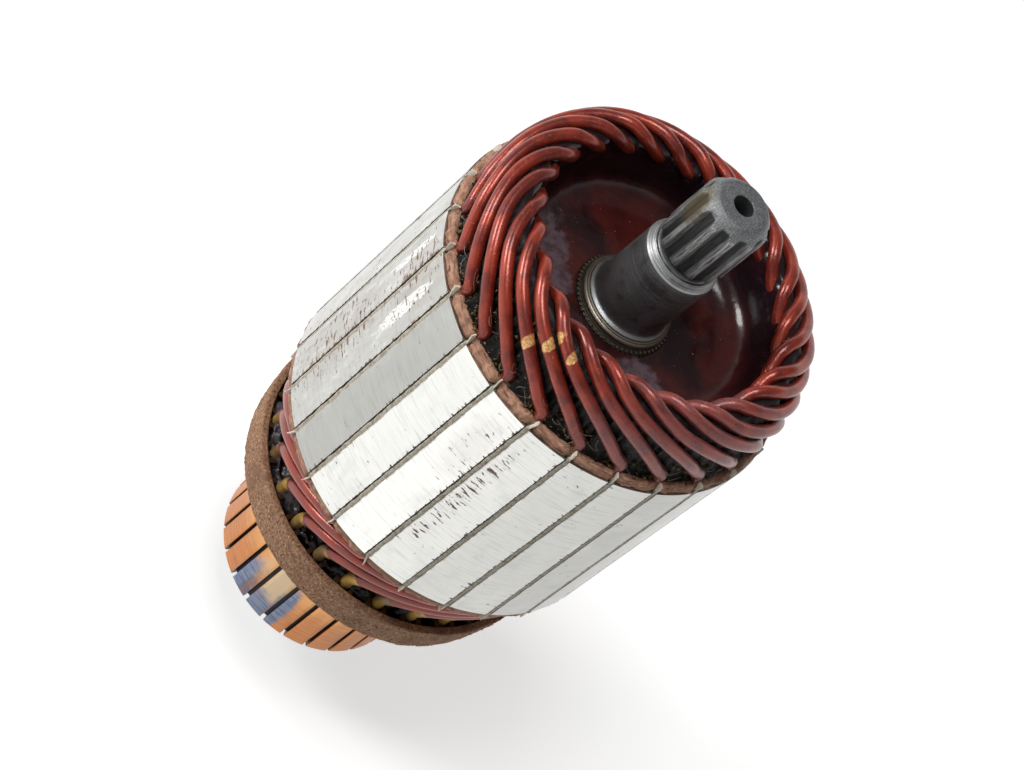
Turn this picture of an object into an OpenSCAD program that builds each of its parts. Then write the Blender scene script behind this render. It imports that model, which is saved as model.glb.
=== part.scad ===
// Wound rotor of a reduction-drive starter motor.
// The shaft stands along +Z with its toothed drive end up.
// The origin is the centre of the commutator-end face of the shaft.
// Slot 0 of the core lies on the +X axis and the slots are numbered towards +Y.

/* [Core] */
// Outer diameter of the ground sheet stack
core_d = 60; // [58:0.5:64]
// Length of the sheet stack without its end discs
core_len = 44.5; // [36:0.5:60]
// Number of slots, hairpins and commutator bars
slot_count = 25; // [23:2:25]
// Width of a slot inside its paper liner
slot_w = 2.2; // [2.1:0.05:2.4]
// Width of the narrow mouth of a slot at the core's surface
mouth_w = 0.85; // [0.75:0.05:1.4]
// Thickness of the steel lips that close a slot
lip_t = 0.8; // [0.6:0.05:1]

/* [Insulation] */
// Thickness of each fibre end disc
disc_t = 1.5; // [1:0.1:2]
// How far the end discs stay inside the core's surface
disc_inset = 0.25; // [0.1:0.05:0.6]
// Thickness of the paper of a slot liner
liner_t = 0.22; // [0.15:0.01:0.25]
// How far the liners stand out of the end discs
liner_out = 0.3; // [0.2:0.05:0.4]
// Height of the cured resin ring inside the crown
resin_h = 7.6; // [5:0.1:8]

/* [Windings] */
// Diameter of the enamelled wire
wire_d = 2; // [1.8:0.05:2.05]
// Radial distance between the outer and the inner layer in a slot
layer_step = 2.3; // [2.2:0.05:2.5]
// Number of slots that one hairpin spans
coil_span = 6; // [5:1:6]
// Number of flats round the wire
wire_sides = 8; // [8:1:12]

/* [Commutator] */
// Diameter of the brush track
comm_d = 34.8; // [33:0.2:36]
// Length of the brush track
track_len = 23.5; // [18:0.5:26]
// Width of the undercut between two bars
undercut_w = 0.75; // [0.5:0.05:0.9]
// Depth of the undercut below the brush track
undercut_deep = 0.9; // [0.5:0.1:1.2]
// Radius of the bars' feet in the moulded hub
bar_foot_r = 12.6; // [12:0.1:13.5]
// Length of the forked riser of a bar
riser_len = 7; // [6:0.1:7.3]
// Width of a forked riser
riser_w = 3.6; // [3.3:0.1:4]

/* [Bandage] */
// Outer radius of the bandage at its core side
band_front_r = 27.1; // [26.8:0.1:27.5]
// Outer radius of the bandage at its commutator side
band_back_r = 26.1; // [25.9:0.1:26.6]
// Inner radius of the bandage
band_bore_r = 25.5; // [25.4:0.05:25.6]
// Width of the bandage along the shaft
band_len = 7.35; // [6.5:0.05:7.6]

/* [Shaft] */
// Diameter of the journal at the commutator end
back_journal_d = 12; // [10:0.5:12.6]
// Length of the journal at the commutator end
back_journal_len = 10; // [8:0.5:11]
// Diameter of the journal at the drive end
journal_d = 12.5; // [12:0.1:13]
// Diameter of the collar at the foot of the drive-end journal
collar_d = 15.7; // [15:0.1:15.8]
// Outer diameter of the toothed end
tooth_d = 11.7; // [11.4:0.1:12]
// Diameter at the roots of the teeth
root_d = 10.3; // [10:0.1:10.6]
// Number of teeth
tooth_count = 11; // [9:1:13]
// Height of the collar's upper edge over the core's steel face
collar_top = 3.6; // [3.2:0.1:4.2]
// Height of the journal's shoulder over the core's steel face
shoulder_h = 17.9; // [16:0.1:19]
// Height of the shaft's end over the core's steel face
tip_h = 31.7; // [28:0.1:34]

/* [Hidden] */
$fn = 96;
NAMES = [for (i = [1:slot_count]) str(i < 10 ? "0" : "", i)];

core_r = core_d / 2;
pitch = 360 / slot_count;
wire_r = wire_d / 2;
// Bevel on the edges of turned pieces
edge = 0.4;

// Levels along the shaft
comm_back = back_journal_len;
track_top = comm_back + track_len;
riser_back = track_top + 0.3;
riser_top = riser_back + riser_len;
band_back = riser_back - 0.2;
band_front = band_back + band_len;
core_back = band_front + 15.2;
core_front = core_back + core_len;
disc_back = core_back - disc_t;
disc_front = core_front + disc_t;
tip_z = core_front + tip_h;

// Slot section, from the mouth inwards
liner_gap = 0.03;
wire_gap = 0.05;
pocket_w = slot_w + 2 * (liner_t + liner_gap);
pocket_top = core_r - lip_t;
outer_r = pocket_top - liner_t - liner_gap - wire_gap - wire_r;
inner_r = outer_r - layer_step;
pocket_floor = inner_r - wire_r - wire_gap - liner_t - liner_gap;

// Bores and seats of the shaft
seat_r = 8;
knurl_r = 8.3;
knurl_deep = 0.35;
knurl_count = 60;
knurl_gap = 0.05;
hub_seat_r = 6.6;

// Commutator: the bars stand midway between the slots, turned back by a small lag
bar_lag = -1.5;
track_r = comm_d / 2;
bar_zero = pitch / 2 + bar_lag;
riser_tip_r = band_bore_r - 0.02;
riser_outer_r = riser_tip_r - wire_r - 0.35;
riser_inner_r = riser_outer_r - 2.2;
fork_gap = wire_d + 2 * wire_gap;
fork_floor_r = riser_inner_r - wire_r - wire_gap;
fork_back = 0.8;
hub_back = comm_back + 0.7;

// Toothed end: the first tooth stands this far round from slot 0
tooth_turn = 13.55;

// Small helpers

// Angle of slot or bar number i
function slot_angle(i) = i * pitch;
function bar_angle(i) = bar_zero + i * pitch;

// Point of a path station [radius, angle, height] in space
function place(s) = [s[0] * cos(s[1]), s[0] * sin(s[1]), s[2]];
function unit(v) = v / norm(v);

// Tube swept along a list of points; every inner ring lies on the mitre plane of its corner
function ahead(p, i) = unit(p[min(i + 1, len(p) - 1)] - p[min(i, len(p) - 2)]);
function level(v, t) = unit(v - (v * t) * t);
function carried(p, v, i) =
    i == len(p) ? [] : let(n = level(v, ahead(p, i))) concat([n], carried(p, n, i + 1));

module swept_tube(p, r, sides, first_normal) {
    count = len(p);
    side = carried(p, first_normal, 0);
    points = [
        for (i = [0:count - 1])
            let(e = ahead(p, i), m = unit(ahead(p, max(i - 1, 0)) + e), n = side[i], b = cross(e, n))
                for (j = [0:sides - 1])
                    let(a = 360 * (j + 0.5) / sides, q = cos(a) * n + sin(a) * b)
                        p[i] + r * (q - e * (q * m) / (e * m))
    ];
    walls = [
        for (i = [0:count - 2], j = [0:sides - 1])
            let(k = (j + 1) % sides, a = i * sides, b = a + sides)
                [a + j, b + j, b + k, a + k]
    ];
    back_cap = [[for (j = [0:sides - 1]) j]];
    front_cap = [[for (j = [sides - 1:-1:0]) (count - 1) * sides + j]];
    polyhedron(points, concat(back_cap, walls, front_cap), convexity = 8);
}

// ---- Hairpins ----

// Lean of the outer and of the inner lead between the core and its riser
outer_lean = bar_zero - 3 * pitch;
inner_lean = bar_zero + 2 * pitch;
span = coil_span * pitch;

// The polygon round a wire reaches a little past the true radius, so that it looks as thick
wire_reach = 1.03 * wire_r;
// Beyond this distance from an end disc a leg is clear of its liner and may bend
bend_start = liner_out + 0.65;

// One lead from its riser to the core: radius, angle from its slot, height
function lead(slot_r, riser_r, lean) =
    let(drop = slot_r - riser_r) [
        [riser_r, lean, riser_back + fork_back + 0.1],
        [riser_r, lean, riser_top + 1.2],
        [riser_r + 0.1 * drop, 0.97 * lean, riser_top + 2.6],
        [riser_r + 0.4 * drop, 0.83 * lean, disc_back - 8.4],
        [slot_r - 0.3 * drop, 0.55 * lean, disc_back - 5.4],
        [slot_r - 0.08 * drop, 0.2 * lean, disc_back - 2.4],
        [slot_r, 0, disc_back - bend_start]
    ];

// One station of the crown: depth under the outer layer, share of the span, height
function crown_station(depth, share, h) = [outer_r - depth, -share * span, core_front + h];

// The crown from the outer slot over the top to the inner slot
crown = [
    crown_station(0, 0, disc_t + bend_start),
    crown_station(-0.05, 0.05, 4.1),
    crown_station(-0.1, 0.115, 6.4),
    crown_station(0.1, 0.186, 8.3),
    crown_station(0.6, 0.278, 10.1),
    crown_station(1.5, 0.388, 11.6),
    crown_station(2.9, 0.486, 12.7),
    crown_station(4.4, 0.561, 13.3),
    crown_station(5.6, 0.613, 13),
    crown_station(6.2, 0.666, 12),
    crown_station(6.1, 0.729, 10.6),
    crown_station(5, 0.804, 9.2),
    crown_station(4.5, 0.88, 6.6),
    crown_station(layer_step + 0.4, 0.978, 3.8),
    crown_station(layer_step, 1, disc_t + bend_start)
];

// Turns a path about the shaft
function turned(p, angle) = [for (s = p) [s[0], s[1] + angle, s[2]]];
function reversed(p) = [for (i = [len(p) - 1:-1:0]) p[i]];

function hairpin_path(i) =
    let(start = slot_angle(i))
    concat(
        turned(lead(outer_r, riser_outer_r, outer_lean), start),
        turned(crown, start),
        turned(reversed(lead(inner_r, riser_inner_r, inner_lean)), start - span)
    );

module hairpin(i) {
    path = hairpin_path(i);
    a = path[0][1];
    color([0.62, 0.25, 0.18])
        swept_tube([for (s = path) place(s)], wire_reach, wire_sides, [cos(a), sin(a), 0]);
}

// ---- Core and insulation ----

// Outline of one slot lying along +X: pocket with a round floor, and its mouth
module slot_outline() {
    half = pocket_w / 2;
    translate([pocket_floor + half, 0])
        circle(r = half);
    translate([pocket_floor + half, -half])
        square([pocket_top - pocket_floor - half, 2 * half]);
    translate([pocket_top - 1, -mouth_w / 2])
        square([lip_t + 2, mouth_w]);
}

// Slotted disc outline, used by the stack and by both end discs
module slotted_outline(out_r, bore_r) {
    difference() {
        circle(r = out_r);
        circle(r = bore_r);
        for (i = [0:slot_count - 1])
            rotate(slot_angle(i))
                slot_outline();
    }
}

module core() {
    color([0.82, 0.82, 0.8])
        translate([0, 0, core_back])
            linear_extrude(core_len)
                slotted_outline(core_r, seat_r);
}

module end_disc(z) {
    color([0.62, 0.45, 0.34])
        translate([0, 0, z])
            linear_extrude(disc_t)
                slotted_outline(core_r - disc_inset, knurl_r + knurl_gap);
}

module front_insulator() {
    end_disc(core_front);
}

module rear_insulator() {
    end_disc(disc_back);
}

// Folded paper round both legs, its two lips standing in the slot's mouth
module liner_outline() {
    half = pocket_w / 2 - liner_gap;
    floor_r = pocket_floor + liner_gap;
    top_r = pocket_top - liner_gap;
    centre_r = floor_r + half;
    lip = mouth_w / 2 - liner_gap;
    difference() {
        union() {
            translate([centre_r, 0])
                circle(r = half);
            translate([centre_r, -half])
                square([top_r - centre_r, 2 * half]);
            translate([top_r - 0.5, -lip])
                square([core_r - top_r + 0.5, 2 * lip]);
        }
        translate([centre_r, 0])
            circle(r = half - liner_t);
        translate([centre_r, -half + liner_t])
            square([top_r - liner_t - centre_r, 2 * (half - liner_t)]);
        translate([top_r - 0.5, -lip + liner_t])
            square([core_r - top_r + 1, 2 * (lip - liner_t)]);
    }
}

module slot_liners() {
    color([0.85, 0.78, 0.66])
        translate([0, 0, disc_back - liner_out])
            linear_extrude(core_len + 2 * (disc_t + liner_out))
                for (i = [0:slot_count - 1])
                    rotate(slot_angle(i))
                        liner_outline();
}

// Cured resin that joins the drive-end disc to the inside of the crown
module resin_ring() {
    face_r = outer_r - 6.9;
    foot_r = face_r - 4.5;
    cove_r = 4.9;
    cove_z = 5.2;
    wall = 0.7;
    color([0.2, 0.1, 0.1])
        translate([0, 0, disc_front])
            rotate_extrude()
                difference() {
                    polygon([
                        [foot_r, 0],
                        [face_r + wall, 0],
                        [face_r + wall, resin_h - 1.4],
                        [face_r + 0.4, resin_h],
                        [face_r, resin_h],
                        [foot_r, 0.6]
                    ]);
                    translate([face_r - cove_r, cove_z])
                        circle(r = cove_r);
                    translate([face_r - 2 * cove_r, cove_z])
                        square([2 * cove_r, resin_h]);
                }
}

// ---- Commutator ----

// Sector between two undercuts, its sides a constant half gap from the rays
module bar_sector() {
    h = pitch / 2;
    reach = 2 * track_r;
    start = undercut_w / 2 / sin(h);
    polygon([
        [start, 0],
        [start + reach * cos(h), reach * sin(h)],
        [start + reach * cos(h), -reach * sin(h)]
    ]);
}

// Copper bar with the forked riser that holds one lead of each layer
module bar(i) {
    riser_foot_r = track_r - undercut_deep + 0.05;
    color([0.8, 0.53, 0.31])
        rotate(bar_angle(i))
            difference() {
                union() {
                    intersection() {
                        rotate_extrude()
                            polygon([
                                [bar_foot_r, comm_back + 1],
                                [track_r - edge, comm_back],
                                [track_r, comm_back + edge],
                                [track_r, riser_top],
                                [bar_foot_r, riser_top]
                            ]);
                        translate([0, 0, comm_back])
                            linear_extrude(riser_top - comm_back)
                                bar_sector();
                    }
                    translate([riser_foot_r, -riser_w / 2, riser_back])
                        cube([riser_tip_r - riser_foot_r + 1, riser_w, riser_len]);
                }
                // the fork's tips are rounded to the bandage's bore
                translate([0, 0, riser_back - 1])
                    difference() {
                        cylinder(r = riser_tip_r + 4, h = riser_len + 2);
                        translate([0, 0, -1])
                            cylinder(r = riser_tip_r, h = riser_len + 4);
                    }
                // the slot of the fork
                translate([fork_floor_r, -fork_gap / 2, riser_back + fork_back])
                    cube([riser_tip_r - fork_floor_r + 2, fork_gap, riser_len]);
            }
}

// Moulded hub; its fins stand between the bars up to the floor of the undercuts
module commutator_hub() {
    fin_r = track_r - undercut_deep;
    fin_top = riser_top - 0.8;
    collar_r = 15.2;
    collar_h = 3.2;
    color([0.16, 0.12, 0.1])
        rotate(bar_zero)
            difference() {
                rotate_extrude()
                    polygon([
                        [hub_seat_r, hub_back],
                        [fin_r, hub_back],
                        [fin_r, fin_top],
                        [collar_r, fin_top],
                        [collar_r, riser_top + collar_h - 1.2],
                        [collar_r - 1.5, riser_top + collar_h],
                        [hub_seat_r, riser_top + collar_h]
                    ]);
                for (i = [0:slot_count - 1])
                    rotate(i * pitch)
                        intersection() {
                            rotate_extrude()
                                polygon([
                                    [bar_foot_r, comm_back],
                                    [track_r + 1, comm_back],
                                    [track_r + 1, riser_top],
                                    [bar_foot_r, riser_top]
                                ]);
                            translate([0, 0, comm_back])
                                linear_extrude(riser_top - comm_back)
                                    bar_sector();
                        }
            }
}

// Resin-bonded winding that holds the leads in the forks
module bandage() {
    bevel = 0.3;
    color([0.55, 0.42, 0.33])
        rotate_extrude()
            polygon([
                [band_bore_r, band_back],
                [band_back_r - bevel, band_back],
                [band_back_r, band_back + bevel],
                [band_front_r, band_front - bevel],
                [band_front_r - bevel, band_front],
                [band_bore_r, band_front]
            ]);
}

// ---- Shaft ----

// Trapezoid space between two teeth, lying along +X
module tooth_space() {
    out_r = tooth_d / 2;
    low_r = root_d / 2;
    share = 360 / tooth_count;
    out_half = out_r * sin(0.39 * share);
    low_half = low_r * sin(0.18 * share);
    slope = (out_half - low_half) / (out_r - low_r);
    polygon([
        [low_r, -low_half],
        [out_r + 1, -out_half - slope],
        [out_r + 1, out_half + slope],
        [low_r, low_half]
    ]);
}

// Turned blank of the shaft, from the commutator end to the toothed end
module turned_shaft() {
    back_r = back_journal_d / 2;
    front_r = journal_d / 2;
    collar_r = collar_d / 2;
    out_r = tooth_d / 2;
    waist_r = 7.2;
    neck_r = root_d / 2 - 0.15;
    neck_top = shoulder_h + 1.5;
    end_r = 4.1;
    rotate_extrude()
        polygon([
            [0, 0],
            [back_r - edge, 0],
            [back_r, edge],
            [back_r, comm_back],
            [hub_seat_r, comm_back + 0.6],
            [hub_seat_r, riser_top + 3.4],
            [waist_r, riser_top + 4],
            [waist_r, disc_back - 1.8],
            [seat_r, disc_back - 1],
            [seat_r, disc_front + 0.1],
            [collar_r, disc_front + 0.1],
            [collar_r, core_front + collar_top - edge],
            [collar_r - edge, core_front + collar_top],
            [front_r + 0.5, core_front + collar_top],
            [front_r, core_front + collar_top + 0.6],
            [front_r, core_front + shoulder_h - 1.1],
            [front_r - 0.9, core_front + shoulder_h],
            [neck_r, core_front + shoulder_h],
            [neck_r, core_front + neck_top - 0.2],
            [neck_r + 0.2, core_front + neck_top],
            [out_r - 0.25, core_front + neck_top],
            [out_r, core_front + neck_top + 0.3],
            [out_r, tip_z - 2],
            [end_r, tip_z],
            [0, tip_z]
        ]);
}

// Ring of small teeth that bites into the bore of an end disc
module knurl_ring(z, h) {
    translate([0, 0, z])
        linear_extrude(h)
            polygon([
                for (i = [0:2 * knurl_count - 1])
                    let(a = 180 * i / knurl_count, r = i % 2 == 0 ? knurl_r : knurl_r - knurl_deep)
                        [r * cos(a), r * sin(a)]
            ]);
}

// Centre drilling from an end face at height z
module centre_hole(z, up) {
    drill_r = 1.1;
    mouth_r = 1.85;
    drill_deep = 5;
    cone_deep = 1.4;
    translate([0, 0, z])
        mirror([0, 0, up ? 0 : 1])
            translate([0, 0, -drill_deep]) {
                cylinder(r = drill_r, h = drill_deep + 1);
                translate([0, 0, drill_deep - cone_deep])
                    cylinder(r1 = drill_r, r2 = mouth_r, h = cone_deep);
                translate([0, 0, drill_deep])
                    cylinder(r = mouth_r, h = 1);
            }
}

module shaft() {
    space_low = core_front + shoulder_h + 1;
    color([0.36, 0.35, 0.34])
        difference() {
            union() {
                turned_shaft();
                knurl_ring(disc_back - 0.8, disc_t + 0.8);
                knurl_ring(core_front, disc_t + 0.5);
            }
            for (i = [0:tooth_count - 1])
                rotate(tooth_turn + (i + 0.5) * 360 / tooth_count)
                    translate([0, 0, space_low])
                        linear_extrude(tip_h)
                            tooth_space();
            centre_hole(tip_z, true);
            centre_hole(0, false);
        }
}

// ---- Nodes ----

shaft();
core();
front_insulator();
rear_insulator();
slot_liners();
resin_ring();
bandage();
commutator_hub();
for (i = [0:slot_count - 1]) {
    hairpin(i);
    bar(i);
}
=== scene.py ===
"""Looks of a starter motor's armature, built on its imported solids.

The sections follow the armature as it is put together: shaft, core, end discs, slot papers,
hairpins, resin, commutator, bandage, and at the end the dirt of use and the studio.
Lengths are in millimetres until a mesh is made, and levels are counted along the shaft.
"""

import bpy
import numpy as np
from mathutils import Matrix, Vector


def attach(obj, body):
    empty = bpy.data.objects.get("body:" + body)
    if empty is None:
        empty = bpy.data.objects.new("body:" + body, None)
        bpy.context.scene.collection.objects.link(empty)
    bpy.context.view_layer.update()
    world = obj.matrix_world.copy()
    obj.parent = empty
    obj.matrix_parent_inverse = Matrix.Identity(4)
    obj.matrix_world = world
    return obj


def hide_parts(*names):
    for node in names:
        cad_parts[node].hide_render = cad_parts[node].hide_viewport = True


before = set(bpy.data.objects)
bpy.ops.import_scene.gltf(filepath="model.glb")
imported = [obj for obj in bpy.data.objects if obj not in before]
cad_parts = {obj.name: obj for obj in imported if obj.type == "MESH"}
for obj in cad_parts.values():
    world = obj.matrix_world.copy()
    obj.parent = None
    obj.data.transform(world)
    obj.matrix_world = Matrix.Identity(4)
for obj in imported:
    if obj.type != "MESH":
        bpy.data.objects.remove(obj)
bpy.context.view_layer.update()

# ---- Camera ----
# It looks down on the toothed end from one side and is rolled, so that the shaft points to
# the upper right. A long lens keeps the core's sides nearly parallel.
camera = bpy.data.objects.new("camera", bpy.data.cameras.new("camera"))
bpy.context.scene.collection.objects.link(camera)
camera.data.lens = 106.9
camera.data.sensor_width = 36.0
camera.location = (0.21679, 0.24217, 0.40902)
camera.rotation_euler = (0.55016, -0.56855, 3.13560)
bpy.context.scene.camera = camera

# ---- Shaft ----
# One turned steel shaft: a journal at each end, a collar at the foot of the front journal and
# eleven straight teeth cut into its drive end. Small knurls bite into the bores of the end
# discs. It is left as turned and darkened by oil and heat. Its tooth lands are painted bright,
# partly as wear and partly as highlight, its bevel and fillet carry painted highlights, and its
# tooth roots and centre holes are painted dark as shade.
core_back, core_front, disc = 56.15, 100.65, 1.5
shaft_line = np.array([
    (0.0, 4.6), (1.1, 4.6), (1.1, 1.4), (1.85, 0.0), (5.6, 0.0), (5.9, 0.12), (6.0, 0.4),
    (6.0, 9.6), (6.2, 10.2), (6.6, 10.6), (6.6, 44.2), (7.2, 44.8), (7.2, 52.9), (8.0, 53.7),
    (8.0, 102.2), (7.85, 102.25), (7.85, 102.9), (7.78, 103.0), (7.78, 103.55), (7.6, 103.75),
    (7.42, 103.82), (7.36, 103.95), (7.1, 104.02), (7.02, 104.2), (6.85, 104.3),
    (6.62, 104.36), (6.44, 104.52), (6.32, 104.78), (6.25, 105.2),
    (6.25, 117.3), (6.22, 117.45), (5.86, 118.0), (5.7, 118.12), (5.45, 118.55),
    (5.1, 118.6), (5.0, 118.7), (5.0, 119.7), (5.2, 119.95), (5.62, 120.05), (5.8, 120.2),
    (5.85, 120.45), (5.85, 129.9), (5.8, 130.25), (5.66, 130.6), (5.36, 131.05), (4.95, 131.55),
    (4.6, 131.95), (4.3, 132.22), (4.02, 132.35), (1.85, 132.35), (1.72, 132.2), (1.45, 131.6),
    (1.1, 130.95), (1.1, 127.6), (0.0, 127.0),
])


def display(r, g, b):
    """A colour picked at its display values, 0 to 255, as the linear values a socket holds."""
    c = np.array([r, g, b]) / 255
    c = np.where(c <= 0.04045, c / 12.92, ((c + 0.055) / 1.055) ** 2.4)
    return (*c.tolist(), 1.0)


def denser(line, step):
    """Adds points to a line of (radius, level), evenly within each stretch, none further apart
    than step. Its own points stay, so every edge of the profile is kept."""
    length = np.hypot(*np.diff(line, axis=0).T)
    count = np.maximum(1, np.ceil(length / step).astype(int))
    at = np.concatenate([np.arange(n) / n + i for i, n in enumerate(count)] + [[len(count)]])
    whole = np.arange(len(line))
    return np.stack([np.interp(at, whole, line[:, 0]), np.interp(at, whole, line[:, 1])], 1)


def add_piece(name, points, faces, finish, sharp=None):
    """A mesh object of the object's own, its points in mm, riding on the one body. Faces that
    come out pointing inwards, told by the sign of the enclosed volume, are all turned round."""
    mesh = bpy.data.meshes.new(name)
    points = np.asarray(points, float).reshape(-1, 3)
    fan = [(f[:, 0], f[:, k], f[:, k + 1]) for f in faces for k in range(1, f.shape[1] - 1)]
    a, b, c = (points[np.concatenate([t[k] for t in fan])] for k in range(3))
    if (a * np.cross(b, c)).sum() < 0:
        faces = [f[:, ::-1] for f in faces]
    mesh.from_pydata(points * 0.001, [], [q for f in faces for q in f.tolist()])
    mesh.shade_smooth()
    if sharp:
        mesh.set_sharp_from_angle(angle=np.radians(sharp))
    mesh.materials.append(finish)
    piece = bpy.data.objects.new(name, mesh)
    bpy.context.scene.collection.objects.link(piece)
    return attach(piece, "root")


def skin(rings, loop=False):
    """Faces that join each point of a stack of rings, shaped (rings, points, 3), to the next
    point round and to the next ring. A loop joins the last ring to the first. Otherwise a
    point in the middle of the first and of the last ring closes the two ends."""
    m, n = rings.shape[:2]
    ids = np.arange(m * n).reshape(m, n)
    after = np.roll(ids, -1, 1)
    if loop:
        up, up_after = np.roll(ids, -1, 0), np.roll(after, -1, 0)
        return rings.reshape(-1, 3), [np.stack([ids, after, up_after, up], -1).reshape(-1, 4)]
    quads = np.stack([ids[:-1], after[:-1], after[1:], ids[1:]], -1).reshape(-1, 4)
    low = np.stack([np.full(n, m * n), after[0], ids[0]], -1)
    high = np.stack([np.full(n, m * n + 1), ids[-1], after[-1]], -1)
    points = np.concatenate([rings.reshape(-1, 3), rings[:1].mean(1), rings[-1:].mean(1)])
    return points, [quads, np.concatenate([low, high])]


def turned(line, angles):
    """A profile of (radius, level) carried once round the shaft at these angles in radians."""
    r, z = line[:, :1], line[:, 1:]
    return np.stack([r * np.cos(angles), r * np.sin(angles), z + 0 * angles], -1)


def new_finish(name):
    """An empty node material: the material, its node tree and its Principled shader."""
    finish = bpy.data.materials.new(name)
    finish.use_nodes = True
    return finish, finish.node_tree, finish.node_tree.nodes["Principled BSDF"]


def put(tree, kind, sockets, out=0, **settings):
    """Adds a shader node and gives back one of its outputs. Sockets maps an input's name or
    number to a value or to another node's output; settings are the node's own choices."""
    node = tree.nodes.new("ShaderNode" + kind)
    for key, value in settings.items():
        setattr(node, key, value)
    for key, value in sockets.items():
        if isinstance(value, bpy.types.NodeSocket):
            tree.links.new(value, node.inputs[key])
        else:
            node.inputs[key].default_value = value
    return node.outputs[out]


def calc(tree, what, *values):
    """One Math node: ADD, MULTIPLY, SINE and so on."""
    return put(tree, "Math", dict(enumerate(values)), operation=what)


def times(tree, a, b):
    """The product of two values."""
    return calc(tree, "MULTIPLY", a, b)


def step(tree, value, low, high):
    """0 where value is at low and 1 where it is at high, eased at both ends."""
    sockets = {"Value": value, "From Min": low, "From Max": high}
    return put(tree, "MapRange", sockets, interpolation_type="SMOOTHSTEP")


def over(tree, under, colour, mask):
    """Lays a colour over another by a mask of 0 to 1."""
    return put(tree, "Mix", {0: mask, 6: under, 7: colour}, out=2, data_type="RGBA")


def grain(tree, place, size, detail=3.0, rough=0.55, warp=0.0):
    """Noise of 0 to 1 whose grains are about size millimetres across."""
    sockets = {"Vector": place, "Scale": 1000.0 / size, "Detail": detail}
    sockets.update({"Roughness": rough, "Distortion": warp})
    return put(tree, "TexNoise", sockets)


def along(tree):
    """The piece's own place, and from it the angle round the shaft in degrees, the radius in
    mm and the level in mm."""
    place = put(tree, "TexCoord", {}, out=3)
    parts = tree.nodes.new("ShaderNodeSeparateXYZ")
    tree.links.new(place, parts.inputs[0])
    x, y, z = parts.outputs
    angle = times(tree, calc(tree, "ARCTAN2", y, x), 180 / np.pi)
    radius = calc(tree, "SQRT", calc(tree, "ADD", times(tree, x, x), times(tree, y, y)))
    return place, angle, times(tree, radius, 1000.0), times(tree, z, 1000.0)


def bump(tree, shader, height, depth, strength=1.0):
    """Raises the surface by a height of 0 to 1 times depth in millimetres."""
    sockets = {"Strength": strength, "Distance": depth * 0.001, "Height": height}
    tree.links.new(put(tree, "Bump", sockets), shader.inputs["Normal"])


def spot(tree, angle, level, at, size, fuzz=0.0, edge=0.25):
    """1 inside an ellipse drawn on the unrolled surface, at (degrees, level) and with half
    axes of (degrees, mm), and 0 outside it. Fuzz, a noise less its half, frays the rim."""
    a = calc(tree, "DIVIDE", calc(tree, "SUBTRACT", angle, at[0]), size[0])
    b = calc(tree, "DIVIDE", calc(tree, "SUBTRACT", level, at[1]), size[1])
    far = calc(tree, "SQRT", calc(tree, "ADD", times(tree, a, a), times(tree, b, b)))
    return step(tree, calc(tree, "ADD", far, fuzz), 1.0 + edge, 1.0 - edge)


def frayed(tree, place, size, share):
    """Noise less its half, times share, to fray a spot's rim."""
    return times(tree, calc(tree, "SUBTRACT", grain(tree, place, size, 4.0, 0.65), 0.5), share)


def most(tree, *masks):
    """The largest of several masks."""
    top = masks[0]
    for mask in masks[1:]:
        top = calc(tree, "MAXIMUM", top, mask)
    return top


# The teeth: flat spaces, sloping flanks and narrow lands, the first land at 13.55 degrees.
tooth_share = 360 / 11
tooth_root = 5.15
round_angles = np.concatenate([
    np.linspace(-16.36, -13.4, 5), np.linspace(-12.9, -11.9, 4), np.linspace(-11.2, -7.0, 6),
    np.linspace(-6.4, -5.4, 4), np.linspace(-4.2, 4.2, 7), np.linspace(5.4, 6.4, 4),
    np.linspace(7.0, 11.2, 6), np.linspace(11.9, 12.9, 4), np.linspace(13.4, 16.36, 5)[:-1],
])
tooth_depth = np.interp(
    np.abs(round_angles), [0, 5.2, 6.1, 6.8, 11.6, 12.4, 13.2, 17],
    [0, 0.01, 0.05, 0.12, 0.58, 0.66, 0.7, 0.7])
round_angles = (round_angles + tooth_share * np.arange(11)[:, None] + 13.55 + tooth_share / 2).ravel()
groove = np.tile(tooth_root + tooth_depth, 11)
shaft_rings = denser(shaft_line, 1.2)
shaft_points = turned(shaft_rings, np.radians(round_angles))
cut = np.clip((shaft_rings[:, 1:] - 119.3) / 0.5, 0, 1) * (shaft_rings[:, :1] > 1.9)
cut_r = shaft_rings[:, :1] - cut * np.maximum(0, shaft_rings[:, :1] - groove)
shaft_points[..., :2] *= (cut_r / np.maximum(shaft_rings[:, :1], 1e-6))[..., None]

dark_steel, tree, shader = new_finish("dark_turned_steel")
place, angle, radius, level = along(tree)
ridges = put(tree, "TexNoise", {"W": level, "Scale": 3.2, "Detail": 3.0}, noise_dimensions="1D")
rings = put(tree, "TexNoise", {"W": level, "Scale": 11.0, "Detail": 4.0}, noise_dimensions="1D")
cloud = grain(tree, place, 3.0, 4.0)
fine = grain(tree, place, 0.22, 4.0, 0.65)
body = over(tree, display(120, 120, 120), display(176, 178, 180), step(tree, rings, 0.38, 0.7))
body = over(tree, body, display(70, 60, 56), times(tree, step(tree, cloud, 0.5, 0.72), 0.55))
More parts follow.
